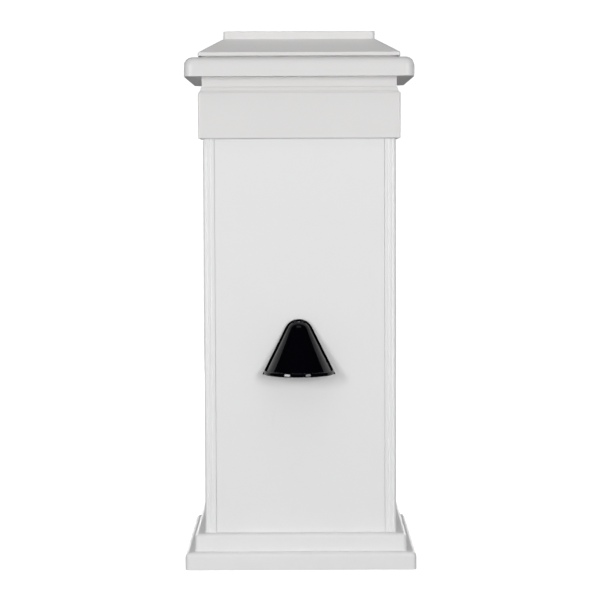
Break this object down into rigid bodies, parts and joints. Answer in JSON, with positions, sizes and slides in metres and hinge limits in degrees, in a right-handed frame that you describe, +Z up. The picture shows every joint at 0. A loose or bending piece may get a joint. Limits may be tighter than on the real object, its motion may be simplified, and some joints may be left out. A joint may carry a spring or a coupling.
{
  "type": "electric vehicle charging post",
  "caption": "Square classical charging pedestal with moulded plinth, collar and cap, a hooded front socket, and a hinged rear service door over the electrical gear.",
  "frame": {"origin": "on the ground, at the centre of the square shaft and of the anchor hole pattern", "axes": "+Z up; -Y out of the front panel, where the socket and hood are; +X to the right when facing the front"},
  "size_m": [0.43, 0.464, 1],
  "materials": {
    "white_vinyl": "satin",
    "white_cap": "satin",
    "white_trim": "satin",
    "white_seal": "matte",
    "black_gloss": "gloss",
    "black_matte": "matte",
    "black_rubber": "matte",
    "galvanised_steel": "spangled zinc",
    "white_steel": "satin",
    "zinc_hardware": "bright zinc",
    "module_grey": "satin",
    "controller_grey": "textured",
    "terminal_grey": "matte",
    "lever_black": "satin",
    "knob_red": "gloss",
    "button_yellow": "gloss",
    "brass": "bright",
    "steel_pin": "ground",
    "gland_grey": "matte"
  },
  "bodies": {
    "post": {"base_plate": "galvanised_steel", "plinth_lower": "white_vinyl", "plinth_upper": "white_vinyl", "corner_trim_front_left": "white_trim", "corner_trim_front_right": "white_trim", "corner_trim_rear_left": "white_trim", "corner_trim_rear_right": "white_trim", "front_panel": "white_vinyl", "left_panel": "white_vinyl", "right_panel": "white_vinyl", "panel_rails": "white_steel", "pan_head_screws": "zinc_hardware", "collar_band": "white_cap", "neck_moulding": "white_cap", "head_frame": "galvanised_steel", "cap_brackets": "galvanised_steel", "cap_soffit": "white_cap", "cap_tray": "white_cap", "cap_seal": "white_seal", "cap_roof": "white_cap", "cap_crown": "white_cap", "frame_uprights": "galvanised_steel", "equipment_plate": "galvanised_steel", "din_rails": "zinc_hardware", "isolator_body": "module_grey", "breaker_body": "module_grey", "contactor": "module_grey", "energy_meter": "module_grey", "power_supply": "module_grey", "charge_controller": "controller_grey", "terminal_blocks": "terminal_grey", "earth_bar": "brass", "gland_plate": "galvanised_steel", "supply_gland": "gland_grey", "gland_nut": "gland_grey", "socket_cup": "black_matte", "socket_flange": "black_matte", "socket_insert": "black_matte", "socket_contacts": "brass", "lock_actuator": "black_matte", "socket_bezel": "black_gloss", "bezel_gasket": "black_rubber", "bezel_screws": "zinc_hardware", "hood_hinge_pin": "steel_pin", "hood_spring": "steel_pin", "door_gasket": "black_rubber", "door_hinge_fixed": "white_steel", "door_hinge_pins": "steel_pin"},
    "weather_hood": {"hood_lid": "black_gloss"},
    "door": {"rear_door": "white_steel", "door_stiffeners": "galvanised_steel", "door_hinge_moving": "white_steel", "door_lock_barrel": "zinc_hardware", "door_lock_nut": "zinc_hardware"},
    "door_lock": {"door_lock_core": "zinc_hardware", "door_lock_cam": "galvanised_steel"},
    "isolator": {"isolator_knob": "knob_red"},
    "breaker": {"breaker_lever": "lever_black"},
    "test_button": {"breaker_test_button": "button_yellow"},
    "plug_lock": {"lock_pin": "steel_pin"}
  },
  "joints": [
    {"name": "hood_hinge", "type": "hinge", "parent": "post", "child": "weather_hood", "pos_m": [-0.0025, -0.1884, 0.4588], "axis": [-1, 0, 0], "range_deg": [0, 85], "stiffness_Nm_per_rad": 0.01},
    {"name": "door_hinge", "type": "hinge", "parent": "post", "child": "door", "pos_m": [-0.1573, 0.1845, 0.4325], "axis": [0, 0, 1], "range_deg": [0, 110]},
    {"name": "door_lock_turn", "type": "hinge", "parent": "door", "child": "door_lock", "pos_m": [0.1223, 0.18, 0.4325], "axis": [0, -1, 0], "range_deg": [0, 90]},
    {"name": "isolator_turn", "type": "hinge", "parent": "post", "child": "isolator", "pos_m": [-0.048, -0.0015, 0.6505], "axis": [0, 1, 0], "range_deg": [0, 90]},
    {"name": "breaker_toggle", "type": "hinge", "parent": "post", "child": "breaker", "pos_m": [0.026, -0.0075, 0.6505], "axis": [1, 0, 0], "range_deg": [-60, 0]},
    {"name": "test_button_press", "type": "slide", "parent": "post", "child": "test_button", "axis": [0, -1, 0], "range_m": [0, 0.0015], "stiffness_N_per_m": 150},
    {"name": "plug_lock_slide", "type": "slide", "parent": "post", "child": "plug_lock", "axis": [0, 0, -1], "range_m": [0, 0.006]}
  ]
}
